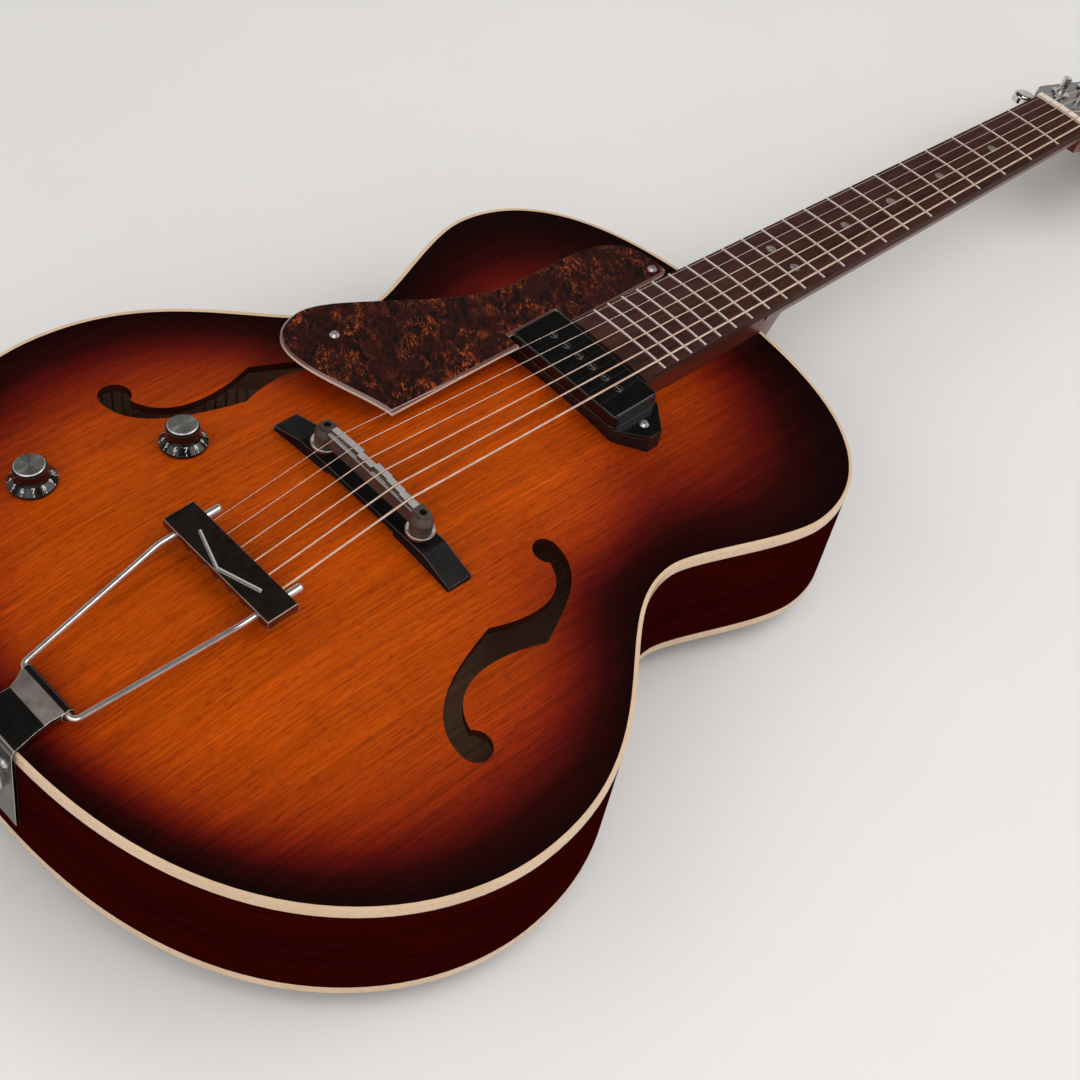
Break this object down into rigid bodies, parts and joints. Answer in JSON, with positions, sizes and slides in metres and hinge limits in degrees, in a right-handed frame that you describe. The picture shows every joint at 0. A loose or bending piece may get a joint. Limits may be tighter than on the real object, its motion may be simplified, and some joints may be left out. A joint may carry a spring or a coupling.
{
  "type": "archtop guitar",
  "caption": "Hollow-body archtop guitar strung left-handed, with f-holes, dog-ear pickup, floating pickguard, adjustable bridge, trapeze tailpiece, turning tuners and knobs.",
  "frame": {"origin": "on the bench under the middle of the guitar's bounding box", "axes": "+X to the bass side, +Y from the tail to the head, +Z out of the soundboard"},
  "size_m": [0.4152, 1.0482, 0.1317],
  "materials": {
    "spruce_top": "satin sunburst lacquer",
    "body_wood": "gloss red-brown lacquer",
    "cream_binding": "gloss",
    "inner_wood": "bare",
    "neck_wood": "satin red-brown lacquer",
    "black_lacquer": "gloss",
    "rosewood": "oiled",
    "fret_wire": "polished",
    "pearl": "pearly",
    "cream_nut": "smooth",
    "plain_steel": "plain",
    "black_plastic": "gloss",
    "black_matte": "matt",
    "chrome": "polished",
    "dark_chrome": "polished, dark",
    "tortoise": "gloss mottled",
    "coil_tape": "taped",
    "magnet": "ground",
    "brass_plate": "plain",
    "screw_steel": "bright",
    "ebony": "oiled",
    "gunmetal": "satin grey",
    "spun_aluminium": "spun",
    "bronze_string": "wound",
    "plain_string": "drawn",
    "lead_jacket": "matt"
  },
  "bodies": {
    "guitar": {"screws": "screw_steel", "plain_strings": "plain_string", "wound_strings": "bronze_string", "top_plate": "spruce_top", "back_plate": "body_wood", "side_bass": "body_wood", "side_treble": "body_wood", "binding": "cream_binding", "neck_block": "inner_wood", "end_block": "inner_wood", "linings": "inner_wood", "tone_bars": "inner_wood", "neck": "neck_wood", "head_veneer": "black_lacquer", "truss_rod": "plain_steel", "truss_rod_cover": "black_plastic", "fingerboard": "rosewood", "frets": "fret_wire", "position_dots": "pearl", "nut": "cream_nut", "tuner_housings": "chrome", "tuner_bushings": "chrome", "pickguard": "tortoise", "pickguard_standoffs": "black_matte", "pickup_cover": "black_plastic", "pickup_spacer": "black_matte", "pickup_coil": "coil_tape", "pickup_magnets": "magnet", "pickup_baseplate": "brass_plate", "pole_screws": "screw_steel", "bridge_base": "ebony", "bridge_studs": "dark_chrome", "tailpiece_crossbar": "dark_chrome", "tailpiece_rod": "chrome", "tailpiece_nuts": "chrome", "tailpiece_bracket": "chrome", "end_pin_jack": "chrome", "potentiometers": "plain_steel", "wiring": "lead_jacket"},
    "volume_control": {"volume_knob": "black_plastic", "volume_knob_cap": "spun_aluminium", "volume_shaft": "brass_plate"},
    "tone_control": {"tone_knob": "black_plastic", "tone_knob_cap": "spun_aluminium", "tone_shaft": "brass_plate"},
    "saddle_bar": {"saddle": "gunmetal"},
    "wheel_bass": {"thumbwheel_bass": "chrome"},
    "wheel_treble": {"thumbwheel_treble": "chrome"},
    "key_1": {"tuner_key_1": "chrome"},
    "post_1": {"tuner_post_1": "chrome"},
    "key_2": {"tuner_key_2": "chrome"},
    "post_2": {"tuner_post_2": "chrome"},
    "key_3": {"tuner_key_3": "chrome"},
    "post_3": {"tuner_post_3": "chrome"},
    "key_4": {"tuner_key_4": "chrome"},
    "post_4": {"tuner_post_4": "chrome"},
    "key_5": {"tuner_key_5": "chrome"},
    "post_5": {"tuner_post_5": "chrome"},
    "key_6": {"tuner_key_6": "chrome"},
    "post_6": {"tuner_post_6": "chrome"}
  },
  "joints": [
    {"name": "volume_turn", "type": "hinge", "parent": "guitar", "child": "volume_control", "pos_m": [-0.09, -0.33176, 0.10105], "axis": [-0.1159, 0.006, 0.9932], "range_deg": [-150, 150]},
    {"name": "tone_turn", "type": "hinge", "parent": "guitar", "child": "tone_control", "pos_m": [-0.1155, -0.40726, 0.09634], "axis": [-0.0953, -0.0722, 0.9928], "range_deg": [-150, 150]},
    {"name": "tuner_key_1_turn", "type": "hinge", "parent": "guitar", "child": "key_1", "pos_m": [-0.026, 0.40183, 0.05272], "axis": [1, 0, 0], "continuous": true},
    {"name": "tuner_post_1_turn", "type": "hinge", "parent": "guitar", "child": "post_1", "pos_m": [-0.026, 0.39903, 0.07209], "axis": [0, 0.2929, 0.9562], "continuous": true},
    {"name": "tuner_key_2_turn", "type": "hinge", "parent": "guitar", "child": "key_2", "pos_m": [-0.026, 0.44104, 0.04072], "axis": [1, 0, 0], "continuous": true},
    {"name": "tuner_post_2_turn", "type": "hinge", "parent": "guitar", "child": "post_2", "pos_m": [-0.026, 0.43824, 0.06009], "axis": [0, 0.2929, 0.9562], "continuous": true},
    {"name": "tuner_key_3_turn", "type": "hinge", "parent": "guitar", "child": "key_3", "pos_m": [-0.026, 0.48024, 0.02871], "axis": [1, 0, 0], "continuous": true},
    {"name": "tuner_post_3_turn", "type": "hinge", "parent": "guitar", "child": "post_3", "pos_m": [-0.026, 0.47744, 0.04808], "axis": [0, 0.2929, 0.9562], "continuous": true},
    {"name": "tuner_key_4_turn", "type": "hinge", "parent": "guitar", "child": "key_4", "pos_m": [0.026, 0.48024, 0.02871], "axis": [1, 0, 0], "continuous": true},
    {"name": "tuner_post_4_turn", "type": "hinge", "parent": "guitar", "child": "post_4", "pos_m": [0.026, 0.47744, 0.04808], "axis": [0, 0.2929, 0.9562], "continuous": true},
    {"name": "tuner_key_5_turn", "type": "hinge", "parent": "guitar", "child": "key_5", "pos_m": [0.026, 0.44104, 0.04072], "axis": [1, 0, 0], "continuous": true},
    {"name": "tuner_post_5_turn", "type": "hinge", "parent": "guitar", "child": "post_5", "pos_m": [0.026, 0.43824, 0.06009], "axis": [0, 0.2929, 0.9562], "continuous": true},
    {"name": "tuner_key_6_turn", "type": "hinge", "parent": "guitar", "child": "key_6", "pos_m": [0.026, 0.40183, 0.05272], "axis": [1, 0, 0], "continuous": true},
    {"name": "tuner_post_6_turn", "type": "hinge", "parent": "guitar", "child": "post_6", "pos_m": [0.026, 0.39903, 0.07209], "axis": [0, 0.2929, 0.9562], "continuous": true},
    {"name": "saddle_height", "type": "slide", "parent": "guitar", "child": "saddle_bar", "axis": [0, 0, 1], "range_m": [-0.0015, 0.003], "deforming": ["wound_strings", "plain_strings"]},
    {"name": "thumbwheel_bass_turn", "type": "hinge", "parent": "saddle_bar", "child": "wheel_bass", "pos_m": [0.0374, -0.28076, 0.1161], "axis": [0, 0, 1], "range_deg": [-680, 1360]},
    {"name": "thumbwheel_treble_turn", "type": "hinge", "parent": "saddle_bar", "child": "wheel_treble", "pos_m": [-0.0374, -0.28076, 0.1161], "axis": [0, 0, 1], "range_deg": [-680, 1360]}
  ],
  "couplings": [
    {"joint": "tuner_post_1_turn", "follows": "tuner_key_1_turn", "ratio": 0.066667},
    {"joint": "tuner_post_2_turn", "follows": "tuner_key_2_turn", "ratio": 0.066667},
    {"joint": "tuner_post_3_turn", "follows": "tuner_key_3_turn", "ratio": 0.066667},
    {"joint": "tuner_post_4_turn", "follows": "tuner_key_4_turn", "ratio": 0.066667},
    {"joint": "tuner_post_5_turn", "follows": "tuner_key_5_turn", "ratio": 0.066667},
    {"joint": "tuner_post_6_turn", "follows": "tuner_key_6_turn", "ratio": 0.066667},
    {"joint": "thumbwheel_bass_turn", "follows": "saddle_height", "rad_per_m": 7854},
    {"joint": "thumbwheel_treble_turn", "follows": "saddle_height", "rad_per_m": 7854}
  ]
}
